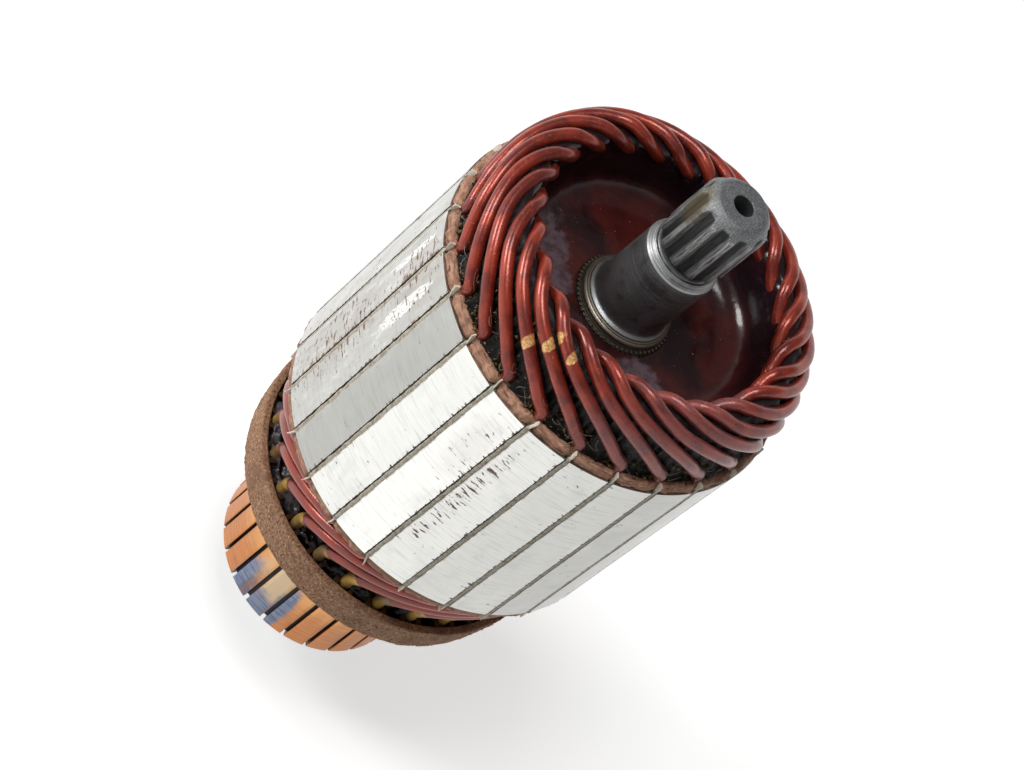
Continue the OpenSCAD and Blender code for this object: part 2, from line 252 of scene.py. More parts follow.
# the toothed end is rougher and greyer, with scratches that run along its teeth
toothed = step(tree, level, 118.9, 119.6)
drawn = put(tree, "CombineXYZ", {0: times(tree, angle, 0.0001), 1: times(tree, level, 0.00005),
    2: times(tree, radius, 0.001)})
strokes = grain(tree, drawn, 0.16, 4.0, 0.7)
end_face = step(tree, level, 131.6, 132.2)
worn = over(tree, display(92, 93, 94), display(150, 152, 152), step(tree, strokes, 0.4, 0.62))
# the tooth roots are painted near black as shade, short of the end's chamfer
worn = over(tree, worn, display(40, 41, 43), times(tree, step(tree, radius, 5.5, 5.2),
    times(tree, step(tree, level, 131.2, 130.8), 0.8)))
# the tooth lands are painted bright, partly as wear and partly as highlight
land = times(tree, step(tree, radius, 5.68, 5.8), step(tree, strokes, 0.36, 0.56))
worn = over(tree, worn, display(196, 198, 196), times(tree, land, 0.8))
worn = over(tree, worn, over(tree, display(96, 98, 100), display(142, 144, 146),
    step(tree, fine, 0.4, 0.66)), end_face)
smudge = spot(tree, angle, level, (-4.0, 128.5), (24.0, 3.4), frayed(tree, place, 1.2, 1.6), 0.3)
worn = over(tree, worn, display(92, 80, 50), times(tree, smudge, 0.75))
body = over(tree, body, worn, toothed)
# painted highlight: bright rings on the shoulder's bevel and on the fillet at the collar
shoulder = times(tree, step(tree, level, 117.15, 117.3), step(tree, level, 117.75, 117.5))
fillet = times(tree, step(tree, level, 104.15, 104.3), step(tree, level, 105.3, 104.8))
body = over(tree, body, display(196, 198, 198), times(tree, calc(tree, "ADD", shoulder,
    times(tree, fillet, 0.2)), 0.6))
# olive-brown tint of heat on the collar's side, and bright turned metal on its face
collar = times(tree, step(tree, level, 104.25, 104.05), step(tree, fine, 0.2, 0.55))
body = over(tree, body, display(122, 108, 80), times(tree, collar, 0.7))
# the centre holes at both ends are painted black as shade
pit = step(tree, radius, 1.88, 1.76)
hole_shade = times(tree, pit, most(tree, step(tree, level, 132.3, 132.1), step(tree, level, 3.0, 2.0)))
body = over(tree, body, display(8, 8, 8), hole_shade)
tree.links.new(body, shader.inputs["Base Color"])
tree.links.new(calc(tree, "SUBTRACT", 0.9, times(tree, most(tree, hole_shade, times(tree, smudge, 0.5)),
    0.9)), shader.inputs["Metallic"])
rough = put(tree, "MapRange", {"Value": fine, "To Min": 0.32, "To Max": 0.52})
tree.links.new(calc(tree, "ADD", rough, times(tree, hole_shade, 0.5)), shader.inputs["Roughness"])
turning = calc(tree, "ADD", times(tree, ridges, 0.7), times(tree, rings, 0.5))
turning = calc(tree, "ADD", turning, times(tree, strokes, times(tree, toothed, 1.6)))
bump(tree, shader, turning, 0.06, 0.8)

shaft = add_piece("shaft_turned", *skin(shaft_points), dark_steel, sharp=32)
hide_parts("shaft")

# Knurl under the collar: sixty small black notches round the shaft's seat in the front disc.
knurl_angles = np.radians(np.linspace(0, 360, 481)[:-1])
tooth_wave = 8.3 - 0.35 * (np.arange(480) % 8 >= 4)
knurl_levels = np.array([101.0, 102.5, 102.62, 102.62])
knurl_r = np.stack([tooth_wave, tooth_wave, tooth_wave - 0.1, tooth_wave * 0 + 7.8])
knurl_points = np.stack([
    knurl_r * np.cos(knurl_angles), knurl_r * np.sin(knurl_angles),
    knurl_levels[:, None] + 0 * knurl_r], -1)
knurl = add_piece("shaft_knurl", *skin(knurl_points), dark_steel, sharp=30)

# ---- Core ----
# A stack of thin steel sheets, ground round after it was pressed on the shaft. Brown varnish
# has crept along its slots, rust has bitten small specks and two scrapes show bare metal.
pitch = 14.4
# one degree round the core's surface, in mm
rim_degree = 0.5236
# the grey of each land round the core is painted reflection: how bright the surroundings it mirrors look
land_reflection_greys = [
    194, 179, 233, 243, 223, 205, 197, 186, 196, 208, 214, 199, 190, 205, 221, 212, 196, 187,
    201, 215, 207, 193, 204, 203, 197]

ground_steel, tree, shader = new_finish("ground_sheet_steel")
place, angle, radius, level = along(tree)


def chosen(tree, share, shades):
    """One of a list of greys by a share of 0 to 1 of the list, changing without a blend."""
    ramp = tree.nodes.new("ShaderNodeValToRGB")
    ramp.color_ramp.interpolation = "CONSTANT"
    for i, shade in enumerate(shades[:-2]):
        ramp.color_ramp.elements.new((i + 1) / len(shades))
    for stop, shade in zip(ramp.color_ramp.elements, shades):
        stop.color = display(shade, shade, shade - 4)
    for i, stop in enumerate(ramp.color_ramp.elements):
        stop.position = i / len(shades)
    tree.links.new(share, ramp.inputs[0])
    return ramp.outputs[0]


# each land takes its painted reflection grey
turn = calc(tree, "FRACT", calc(tree, "ADD", times(tree, angle, 1 / 360), 1.0))
land = chosen(tree, turn, land_reflection_greys)
arc = times(tree, angle, rim_degree * 0.001)
spread = put(tree, "CombineXYZ", {0: arc, 1: times(tree, level, 0.001)})
# the way from the nearest slot's middle, in mm, less than nothing on the side before it
from_slot = times(tree, calc(tree, "SUBTRACT", calc(
    tree, "FRACT", calc(tree, "ADD", times(tree, angle, 1 / pitch), 100.5)), 0.5), pitch * rim_degree)
jag = grain(tree, place, 0.5, 4.0, 0.7)
soak = grain(tree, place, 2.2, 3.0)
before = calc(tree, "SUBTRACT", times(tree, from_slot, -1.0), times(tree, jag, 0.55))
after = calc(tree, "SUBTRACT", from_slot, times(tree, jag, 0.4))
varnish = times(tree, step(tree, before, 0.22, 0.14), step(tree, from_slot, 0.0, -0.1))
dotted = times(tree, step(tree, before, 0.75, 0.2), step(tree, from_slot, 0.0, -0.1))
behind = times(tree, step(tree, after, 0.45, 0.3), step(tree, from_slot, 0.1, 0.2))
rim_stain = times(tree, behind, step(tree, soak, 0.4, 0.6))

dash = put(tree, "Mapping", {0: spread, 3: (0.36, 1.0, 1.0)})
fine_specks = grain(tree, dash, 0.6, 3.0, 0.62)
big_specks = grain(tree, put(tree, "Mapping", {0: spread, 3: (0.3, 1.0, 1.0)}), 0.62, 3.0, 0.6)
cluster = grain(tree, place, 5.0, 2.0)
thick = most(
    tree, spot(tree, angle, level, (2.0, 94.0), (11.0, 7.0), frayed(tree, place, 4.0, 1.0), 0.5),
    spot(tree, angle, level, (-4.0, 70.0), (9.0, 12.0), frayed(tree, place, 5.0, 1.6), 0.5),
    times(tree, spot(tree, angle, level, (52.0, 90.0), (5.0, 8.0), frayed(tree, place, 3.0, 1.0), 0.5),
        0.7))
row = spot(tree, angle, level, (61.5, 82.0), (2.6, 18.0), frayed(tree, place, 2.0, 0.9), 0.4)
mottled = times(tree, spot(tree, angle, level, (-12.0, 78.0), (26.0, 34.0), frayed(tree, place, 6.0, 1.0),
    0.3), 0.045)
often = calc(tree, "ADD", times(tree, step(tree, cluster, 0.42, 0.66), 0.06), times(tree, thick, 0.075))
often = calc(tree, "ADD", calc(tree, "ADD", often, mottled), times(tree, dotted, 0.12))
fine_rust = step(tree, calc(tree, "ADD", fine_specks, often), 0.705, 0.745)
big_rust = step(tree, calc(tree, "ADD", big_specks, times(tree, row, 0.16)), 0.72, 0.755)
halo = step(tree, calc(tree, "ADD", big_specks, times(tree, row, 0.16)), 0.64, 0.75)
rust = most(tree, fine_rust, big_rust)

sheet_lines = put(tree, "TexNoise", {"W": level, "Scale": 9.0, "Detail": 4.0}, noise_dimensions="1D")
rubbed = grain(tree, put(tree, "Mapping", {0: spread, 3: (0.1, 1.0, 1.0)}), 0.5, 4.0)
waft = grain(tree, put(tree, "Mapping", {0: spread, 3: (1.0, 0.35, 1.0)}), 4.0, 4.0, 0.6)
cloudy = grain(tree, place, 7.0, 4.0)
streaky = grain(tree, put(tree, "Mapping", {0: spread, 3: (1.0, 0.2, 1.0)}), 1.3, 4.0, 0.65)
steel = over(tree, land, display(255, 255, 250), times(tree, step(tree, cloudy, 0.45, 0.75), 0.12))
steel = over(tree, steel, display(255, 255, 252), times(tree, times(tree, step(tree, streaky, 0.52, 0.7),
    mottled), 9.0))
steel = over(tree, steel, display(150, 140, 132), times(tree, times(tree, step(tree, streaky, 0.48, 0.3),
    mottled), 9.0))
steel = over(tree, steel, display(120, 118, 116), times(tree, step(tree, rubbed, 0.45, 0.8), 0.3))
steel = over(tree, steel, display(150, 152, 156), times(tree, step(tree, waft, 0.5, 0.75), 0.22))
steel = over(tree, steel, display(172, 160, 150), times(tree, calc(tree, "ADD", halo, thick), 0.3))
scratch = grain(tree, put(tree, "Mapping", {0: spread, 3: (1.0, 0.16, 1.0)}), 0.18, 3.0, 0.7)
scrape = most(
    tree, spot(tree, angle, level, (6.9, 89.6), (2.1, 7.4), frayed(tree, place, 1.6, 0.7), 0.1),
    spot(tree, angle, level, (-8.0, 92.3), (1.4, 5.8), frayed(tree, place, 1.3, 0.9), 0.15))
bare = over(tree, display(188, 184, 176), display(255, 255, 252), step(tree, scratch, 0.4, 0.52))
steel = over(tree, steel, bare, scrape)
steel = over(tree, steel, over(tree, display(66, 44, 38), display(140, 104, 88), jag),
    times(tree, rust, 0.92))
steel = over(tree, steel, display(150, 132, 104), times(tree, rim_stain, 0.6))
steel = over(tree, steel, over(tree, display(104, 86, 62), display(52, 38, 26), step(tree, jag, 0.45, 0.6)),
    varnish)
tree.links.new(steel, shader.inputs["Base Color"])
dull = most(tree, rust, varnish, times(tree, rim_stain, 0.5), times(tree, scrape, 0.35))
tree.links.new(calc(tree, "SUBTRACT", 1.0, dull), shader.inputs["Metallic"])
tree.links.new(put(tree, "MapRange", {"Value": dull, "To Min": 0.3, "To Max": 0.7}),
    shader.inputs["Roughness"])
heights = calc(tree, "SUBTRACT", times(tree, sheet_lines, 0.25), most(tree, rust, scrape))
bump(tree, shader, calc(tree, "ADD", heights, times(tree, times(tree, scratch, scrape), 0.8)), 0.05, 0.7)
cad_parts["core"].data.materials.clear()
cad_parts["core"].data.materials.append(ground_steel)

# ---- End discs ----
# A disc of pressed fibre on each end of the stack keeps the wires off the steel's edges. Its
# rim was pinched at every slot, so it bulges between them, and it is painted darker at each
# slot as shade in the dip. Inside the windings it is painted black, as grime and as shade
# between the wires.
disc_count = 25 * 26
disc_turn = np.linspace(0, 2 * np.pi, disc_count + 1)[:-1]


def ripple(turns, waves, seed):
    """Smooth noise round a circle, of size about 1: cosines of random whole frequencies up to
    waves per turn, with random phases, added up."""
    pick = np.random.default_rng(seed)
    often, phase = pick.integers(2, waves, 40), pick.uniform(0, 2 * np.pi, 40)
    return np.cos(np.multiply.outer(turns, often) + phase).sum(-1) / np.sqrt(20)


def slot_way(turns):
    """The way from the nearest slot's middle along the rim, in mm."""
    return (np.mod(turns / np.radians(pitch) + 0.5, 1) - 0.5) * np.radians(pitch) * 30


def disc_rings(rim, back, front):
    """A disc's cross-section carried round the shaft. Points of the rim, marked by their share
    of the rim, lie lower at a slot by half a millimetre and rise and fall by a ripple."""
    line = np.array([(r, z) for r, z, share in rim])
    share = np.array([share for r, z, share in rim])[:, None]
    dip = 0.55 * np.exp(-(slot_way(disc_turn) / 0.75) ** 2) + 0.22 * np.abs(slot_way(disc_turn) / 3.77) ** 3
    r = line[:, :1] - share * (dip + 0.07 * ripple(disc_turn, 190, 3))
    low = np.clip(1 - np.abs(line[:, 1:] - back) / 0.4, 0, 1) * (line[:, :1] > 27)
    high = np.clip(1 - np.abs(line[:, 1:] - front) / 0.4, 0, 1) * (line[:, :1] > 27)
    z = line[:, 1:] + 0.06 * (low + high) * ripple(disc_turn, 240, 4)
    return np.stack([r * np.cos(disc_turn), r * np.sin(disc_turn), z], -1)


fibre, tree, shader = new_finish("pressed_fibre")
place, angle, radius, level = along(tree)
spread = put(tree, "CombineXYZ", {0: times(tree, angle, rim_degree * 0.001), 1: times(tree, level, 0.001),
    2: times(tree, radius, 0.001)})
weave = grain(tree, put(tree, "Mapping", {0: spread, 3: (0.35, 1.0, 1.0)}), 0.5, 5.0, 0.65)
stain = grain(tree, place, 2.6, 3.0)
crack = grain(tree, put(tree, "Mapping", {0: spread, 3: (0.12, 1.0, 1.0)}), 0.3, 2.0)
tan = over(tree, display(196, 152, 126), display(150, 108, 86), step(tree, weave, 0.35, 0.62))
tan = over(tree, tan, display(212, 184, 160), times(tree, step(tree, weave, 0.62, 0.74), 0.6))
tan = over(tree, tan, display(92, 66, 50), times(tree, step(tree, stain, 0.52, 0.72), 0.75))
tan = over(tree, tan, display(60, 40, 32), times(tree, step(tree, crack, 0.62, 0.68), 0.8))
# the rim is painted darker right at each slot, as shade in its dip
slot_dip_shade = calc(tree, "ABSOLUTE", times(tree, calc(tree, "SUBTRACT", calc(
    tree, "FRACT", calc(tree, "ADD", times(tree, angle, 1 / pitch), 100.5)), 0.5), pitch * rim_degree))
tan = over(tree, tan, display(84, 66, 50), times(tree, step(tree, slot_dip_shade, 0.9, 0.3), 0.7))
# inside the windings the disc is painted black with paler flecks, as grime and as shade between the wires
grime_and_shade = step(tree, calc(tree, "ADD", radius, times(tree, weave, 0.5)), 28.95, 28.6)
tan = over(tree, tan, over(tree, display(16, 12, 11), display(70, 56, 42), step(tree, weave, 0.58, 0.72)),
    grime_and_shade)
tree.links.new(tan, shader.inputs["Base Color"])
shader.inputs["Roughness"].default_value = 0.62
shader.inputs["Specular IOR Level"].default_value = 0.3
bump(tree, shader, weave, 0.14, 0.9)

front_rim = [
    (7.9, 100.66, 0), (29.4, 100.66, 0.6), (29.72, 100.74, 1), (29.86, 101.0, 1), (29.84, 101.4, 1),
    (29.66, 101.8, 1), (29.3, 102.08, 1), (28.9, 102.15, 0.6), (28.4, 102.12, 0.2), (27.0, 102.08, 0), (7.9,
        102.08, 0)]
front_disc = add_piece(
    "front_disc", *skin(disc_rings(front_rim, 99.0, 102.1), loop=True), fibre, sharp=60)
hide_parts("front_insulator")
rear_rim = [
    (7.2, 56.14, 0), (29.5, 56.14, 0.4), (29.8, 56.05, 0.8), (29.88, 55.6, 1), (29.84, 55.1, 1),
    (29.8, 54.75, 1), (29.7, 54.45, 1), (29.4, 54.3, 1), (28.8, 54.5, 0.5), (27.5, 54.68, 0), (7.2, 54.68,
        0)]
rear_disc = add_piece(
    "rear_disc", *skin(disc_rings(rear_rim, 54.4, 58.0), loop=True), fibre, sharp=60)
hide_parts("rear_insulator")

# ---- Slot papers ----
# Each slot is lined with a folded strip of insulating paper. One lip of it was tucked over
# the wires and closes the slot's mouth, and its ends stand out over the discs as slivers.
lip_levels = np.concatenate([np.linspace(53.7, 56.2, 12), np.linspace(56.6, 100.2, 110),
    np.linspace(100.6, 102.5, 14)])
lip_line = np.array([
    (-0.41, 29.0), (-0.41, 29.74), (-0.34, 29.72), (-0.29, 29.76), (-0.24, 29.91), (-0.14, 29.96),
    (0.1, 29.97), (0.3, 29.95), (0.4, 29.9), (0.41, 29.0)])
outside = np.maximum(56.1 - lip_levels, lip_levels - 100.7).clip(0)[:, None]
rough_edge = np.array([0, 0, 0.5, 1, 1, 0.7, 0.3, 0.2, 0, 0])

paper, tree, shader = new_finish("varnished_paper")
place, angle, radius, level = along(tree)
mottle = grain(tree, place, 0.7, 4.0, 0.65)
spots = grain(tree, place, 0.28, 3.0)
tip = most(tree, step(tree, level, 100.7, 101.4), step(tree, level, 56.0, 55.3))
cream = over(tree, display(190, 184, 168), display(140, 130, 110), step(tree, mottle, 0.4, 0.65))
cream = over(tree, cream, display(206, 202, 192), times(tree, step(tree, spots, 0.55, 0.7), 0.6))
cream = over(tree, cream, display(236, 226, 208), times(tree, tip, 0.9))
cream = over(tree, cream, display(88, 70, 48), times(tree, step(tree, mottle, 0.62, 0.7), 0.5))
# the paper down inside the slot's mouth is painted dark brown as shade
slot_recess_shade = times(tree, step(tree, radius, 29.9, 29.8), calc(tree, "SUBTRACT", 1.0, tip))
cream = over(tree, cream, display(44, 32, 22), slot_recess_shade)
tree.links.new(cream, shader.inputs["Base Color"])
shader.inputs["Roughness"].default_value = 0.5
bump(tree, shader, spots, 0.04, 0.8)
lips = []
for k in range(25):
    pick = np.random.default_rng(100 + k)
    wave = np.convolve(pick.normal(0, 1, len(lip_levels) + 4), [0.25, 0.5, 0.75, 0.5, 0.25], "valid")[:,
        None]
    lift = np.convolve(pick.normal(0, 1, len(lip_levels) + 4), [0.3, 0.5, 0.6, 0.5, 0.3], "valid")[:, None]
    s = lip_line[:, 0] + 0.035 * wave * rough_edge
    narrow = np.clip(outside / 0.5, 0, 1)
    s = s * (1 - (0.72 + pick.uniform(-0.12, 0.06)) * narrow) + (0.1 + pick.normal(0,
        0.08)) * narrow + outside * pick.normal(0, 0.14)
    top = lip_line[:, 1] > 29.2
    r = lip_line[:, 1] + 0.02 * lift * top - np.where(top, 0.2 * np.clip(outside - 1.4, 0, 2), 0)
    r = np.where(top, r + (29.9 - r) * np.clip(outside / 0.3, 0, 1) * (np.abs(lip_line[:, 0]) < 0.3), r)
    turns = s / 30 + np.radians(k * pitch)
    lips.append(np.stack([r * np.cos(turns), r * np.sin(turns), lip_levels[:, None] + 0 * r], -1))
parts = [skin(rings) for rings in lips]
sizes = np.cumsum([0] + [len(points) for points, faces in parts[:-1]])
lip_faces = [f + size for (points, faces), size in zip(parts, sizes) for f in faces]
papers = add_piece("slot_papers", np.concatenate([points for points, faces in parts]), lip_faces, paper,
    sharp=50)
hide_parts("slot_liners")

# ---- Hairpins ----
# Twenty-five round copper wires with red-brown enamel, each bent to a hairpin: one leg lies in
# the outer layer of a slot and the other in the inner layer, six slots on. Both ends are
# scraped bare and held in the forks of two commutator bars.
outer_r, inner_r, riser_r, riser_in_r = 27.9, 25.6, 24.15, 21.95
disc_back = core_back - disc
lean_out, lean_in, span = -37.5, 34.5, 86.4


def lead(slot_r, seat_r, lean):
    """Stations (radius, angle, level) of one lead, from its fork to just inside the slot."""
    drop = slot_r - seat_r
    return [
        (seat_r, lean, 34.7), (seat_r, lean, 42.0), (seat_r + 0.1 * drop, 0.97 * lean, 43.4),
        (seat_r + 0.4 * drop, 0.83 * lean, disc_back - 8.4),
        (slot_r - 0.3 * drop, 0.55 * lean, disc_back - 5.4),
        (slot_r - 0.08 * drop, 0.2 * lean, disc_back - 2.4),
        (slot_r, 0, disc_back - 0.8), (slot_r, 0, disc_back + 1.0)]


crown = [
    (0, 0, 0.5), (0, 0, 2.2), (-0.05, 0.05, 4.1), (-0.1, 0.115, 6.4), (0.1, 0.186, 8.3),
    (0.6, 0.278, 10.1), (1.5, 0.388, 11.6), (2.9, 0.486, 12.7), (4.4, 0.561, 13.3),
    (5.6, 0.613, 13.0), (6.2, 0.666, 12.0), (6.1, 0.729, 10.6), (5.0, 0.804, 9.2),
    (4.5, 0.88, 6.6), (2.7, 0.978, 3.8), (2.3, 1, 2.2), (2.3, 1, 0.5)]
stations = np.array(
    lead(outer_r, riser_r, lean_out)
    + [(outer_r - d, -s * span, core_front + h) for d, s, h in crown]
    + [(r, a - span, z) for r, a, z in lead(inner_r, riser_in_r, lean_in)[::-1]])


def smooth_line(line, at):
    """A curve through a line's stations, at shares of their number: on each stretch a cubic
    whose slope at a station is the harmonic mean of the slopes on both sides, or level where
    those differ in sign, so that it never swings past a station."""
    flat = np.stack([line[:, 0] * np.cos(np.radians(line[:, 1])),
        line[:, 0] * np.sin(np.radians(line[:, 1])), line[:, 2]], 1)
    gap = np.linalg.norm(np.diff(flat, axis=0), axis=1)[:, None]
    rise = np.diff(line, axis=0) / gap
    product = rise[:-1] * rise[1:]
    mean = np.where(product > 0, 2 * product / np.where(product > 0, rise[:-1] + rise[1:], 1), 0)
    slope = np.concatenate([rise[:1], mean, rise[-1:]])
    i = np.minimum(at.astype(int), len(gap) - 1)
    t = (at - i)[:, None]
    h = gap[i]
    return (line[i] * (1 + 2 * t) * (1 - t) ** 2 + slope[i] * h * t * (1 - t) ** 2
            + line[i + 1] * t * t * (3 - 2 * t) + slope[i + 1] * h * t * t * (t - 1))


def tube(path, radius, sides):
    """Rings of a round wire along a path of points, each square to the path. A ring starts
    from the direction away from the shaft, made square to the path."""
    ahead = np.gradient(path, axis=0)
    ahead /= np.linalg.norm(ahead, axis=1, keepdims=True)
    away = path * (1, 1, 0)
    side = np.cross(ahead, away)
    side /= np.linalg.norm(side, axis=1, keepdims=True)
    up = np.cross(side, ahead)
    turn = np.linspace(0, 2 * np.pi, sides + 1)[:-1]
    around = np.cos(turn)[:, None] * up[:, None] + np.sin(turn)[:, None] * side[:, None]
    return path[:, None] + np.reshape(radius, (-1, 1, 1)) * around


enamel, tree, shader = new_finish("red_brown_enamel")
place, angle, radius, level = along(tree)
cloud = grain(tree, place, 3.5, 4.0)
pores = grain(tree, place, 0.35, 4.0, 0.65)
red = over(tree, display(158, 56, 36), display(116, 38, 28), step(tree, cloud, 0.4, 0.62))
# the wires are painted darker low in the crown, near the front disc, as shade; more pale specks lie there
# too
low = step(tree, calc(tree, "ADD", level, times(tree, cloud, 3.0)), 106.5, 103.0)
low = times(tree, low, step(tree, level, 60.0, 80.0))
red = over(tree, red, display(88, 30, 24), times(tree, low, 0.4))
# dust lies on the wires of one side, and there are fine pale specks everywhere
dusty = spot(tree, angle, level, (100.0, 106.0), (34.0, 12.0), frayed(tree, place, 4.0, 0.9), 0.4)
dusty = times(tree, dusty, step(tree, pores, 0.3, 0.6))
red = over(tree, red, display(128, 92, 94), times(tree, dusty, 0.6))
specks = grain(tree, place, 0.28, 3.0, 0.6)
red = over(tree, red, display(186, 150, 116), times(tree, step(tree,
    calc(tree, "ADD", specks, times(tree, low, 0.03)), 0.665, 0.7), 0.8))
rear = step(tree, level, 60.0, 50.0)
red = over(tree, red, display(160, 76, 66), times(tree, times(tree, rear, step(tree, cloud, 0.4, 0.6)),
    0.55))
red = over(tree, red, display(96, 44, 48), times(tree, step(tree,
    calc(tree, "ADD", level, times(tree, cloud, 3.0)), 48.5, 45.5), 0.6))
bare = step(tree, calc(tree, "ADD", level, times(tree, pores, 1.0)), 45.0, 44.6)
red = over(tree, red, over(tree, display(206, 166, 82), display(140, 112, 74), step(tree, cloud, 0.4, 0.6)),
    bare)
# three chips on neighbouring wires, where the enamel was knocked off
ragged = frayed(tree, place, 0.8, 0.7)
chip = most(
    tree, spot(tree, angle, level, (39.3, 110.2), (1.5, 1.5), ragged, 0.12),
    spot(tree, angle, level, (43.8, 112.7), (1.7, 1.6), ragged, 0.12),
    spot(tree, angle, level, (51.2, 114.0), (1.5, 1.4), ragged, 0.12))
chip = times(tree, chip, step(tree, radius, 24.8, 25.2))
gold = over(tree, display(238, 196, 128), display(206, 134, 78), step(tree, pores, 0.4, 0.62))
red = over(tree, red, gold, chip)
tree.links.new(red, shader.inputs["Base Color"])
shader.inputs["Metallic"].default_value = 0.3
gloss = most(tree, times(tree, dusty, 0.7), times(tree, bare, 0.5), step(tree, specks, 0.64, 0.7))
tree.links.new(put(tree, "MapRange", {"Value": gloss, "To Min": 0.3, "To Max": 0.6}),
    shader.inputs["Roughness"])
shader.inputs["Specular IOR Level"].default_value = 0.5
shader.inputs["Coat Weight"].default_value = 0.25
shader.inputs["Coat Roughness"].default_value = 0.1
bump(tree, shader, calc(tree, "SUBTRACT", calc(tree, "ADD", pores, specks), chip), 0.04, 0.6)

wander = np.random.default_rng(7)
marks = len(stations) - 1
shares = np.concatenate([
    np.linspace(0, 7, 29), np.linspace(8.02, marks - 8.02, 96), np.linspace(marks - 7, marks, 29)])
for i in range(25):
    own = stations.copy()
    own[11:21] += wander.normal(0, 1, (10, 3)).cumsum(0) * (0.05, 0.16, 0.05) * np.hanning(12)[1:-1, None]
    line = smooth_line(own, shares)
    spin = np.radians(line[:, 1] + i * pitch)
    path = np.stack([line[:, 0] * np.cos(spin), line[:, 0] * np.sin(spin), line[:, 2]], 1)
    name = "%02d" % (i + 1)
    wire = add_piece("wire_" + name, *skin(tube(path, 1.02 + 0 * shares, 14)), enamel, sharp=60)
    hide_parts("hairpin_" + name)

# ---- Resin ----
# Dark resin was poured on the front disc and rose up the inside of the crown. It is glossy,
# level round the shaft, drawn up between the wires and dusty on the outside. Its lavender
# patches are partly scuffs and partly painted reflection, and it is painted near black as shade
# where it rises into the crown and between the wires.
resin_front = core_front + disc
cove = np.radians(np.linspace(-90, -12, 12))
resin_line = np.concatenate([
    [(8.35, 0.0), (8.35, 0.04), (8.6, 0.12), (14.0, 0.14)],
    np.stack([16.0 + 4.9 * np.cos(cove), 5.2 + 4.9 * np.sin(cove)], 1)[1:],
    [(20.95, 5.2), (21.0, 7.2), (21.1, 8.1), (21.3, 8.9), (21.55, 9.6), (21.9, 10.3), (22.5, 10.9),
     (23.4, 11.2), (24.5, 10.9), (25.6, 9.9), (26.5, 8.7), (26.9, 7.0), (27.05, 5.0),
     (27.1, 3.0), (27.2, 1.2), (27.6, 0.3), (28.3, 0.05), (28.3, -0.1)]])
resin_line = denser(resin_line, 0.7) + (0, resin_front)
resin_turn = np.radians(np.linspace(0, 360, 361)[:-1])
resin_points = turned(resin_line, resin_turn)
high = np.clip((resin_line[:, 1:] - resin_front - 6) / 4, 0, 1)
out = np.clip((resin_line[:, :1] - 24) / 2, 0, 1)
swell = 1 + (0.007 * high * ripple(resin_turn, 60, 5) + 0.008 * out * ripple(resin_turn, 150, 6))
resin_points[..., :2] *= swell[..., None]

dark_resin, tree, shader = new_finish("dark_resin")
place, angle, radius, level = along(tree)
blotch = grain(tree, place, 9.0, 5.0, 0.6, 0.4)
maroon = over(tree, display(78, 30, 26), display(40, 18, 22), step(tree, blotch, 0.38, 0.66))
ragged = frayed(tree, place, 5.0, 1.4)
# two lavender patches in the bowl: rougher where scuffed, and their lavender colour is painted reflection
scuffs_and_reflection = most(
    tree, spot(tree, angle, radius, (-12.0, 15.0), (34.0, 5.0), ragged, 0.12),
    spot(tree, angle, radius, (98.0, 14.0), (22.0, 5.5), ragged, 0.12))
lavender = over(tree, display(104, 88, 96), display(74, 56, 62),
    step(tree, grain(tree, place, 1.6, 4.0), 0.4, 0.65))
inside = step(tree, level, resin_front + 1.2, resin_front + 0.4)
maroon = over(tree, maroon, lavender, times(tree, times(tree, scuffs_and_reflection, inside), 0.8))
# the resin is painted near black where it rises into the crown, as shade
crown_shade = step(tree, level, resin_front + 1.0, resin_front + 5.0)
maroon = over(tree, maroon, display(24, 16, 22), times(tree, crown_shade, 0.85))
flecks = grain(tree, place, 0.5, 3.0)
maroon = over(tree, maroon, display(170, 155, 150), times(tree, step(tree, flecks, 0.735, 0.76), inside))
# between the wires the resin is painted near black as shade, with pale dust flecks
between = step(tree, radius, 23.5, 25.0)
dust = over(tree, display(9, 7, 7), display(48, 38, 28), step(tree, grain(tree, place, 0.7, 5.0, 0.7), 0.56,
    0.7))
maroon = over(tree, maroon, dust, between)
tree.links.new(maroon, shader.inputs["Base Color"])
matt = most(tree, between, times(tree, scuffs_and_reflection, 0.5), step(tree, flecks, 0.72, 0.76))
tree.links.new(put(tree, "MapRange", {"Value": matt, "To Min": 0.17, "To Max": 0.6}),
    shader.inputs["Roughness"])
shader.inputs["Specular IOR Level"].default_value = 0.3
lumps = calc(tree, "ADD", times(tree, grain(tree, place, 2.5, 3.0), 0.3),
    times(tree, times(tree, grain(tree, place, 0.8, 4.0), between), 1.0))
bump(tree, shader, lumps, 0.3, 0.7)
resin = add_piece("resin_bowl", *skin(resin_points, loop=True), dark_resin, sharp=60)
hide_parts("resin_ring")

# ---- Commutator ----
# Copper bars with forked risers, moulded into a phenolic hub and undercut between. Brushes
# have worn the track orange, and three bars are stained blue by heat.
moulding, tree, shader = new_finish("phenolic_moulding")
place, angle, radius, level = along(tree)
tree.links.new(over(tree, display(56, 46, 40), display(30, 25, 23), grain(tree, place, 1.2, 4.0)),
    shader.inputs["Base Color"])
shader.inputs["Roughness"].default_value = 0.6
bump(tree, shader, grain(tree, place, 0.4, 4.0), 0.04, 0.6)
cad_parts["commutator_hub"].data.materials.clear()
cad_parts["commutator_hub"].data.materials.append(moulding)

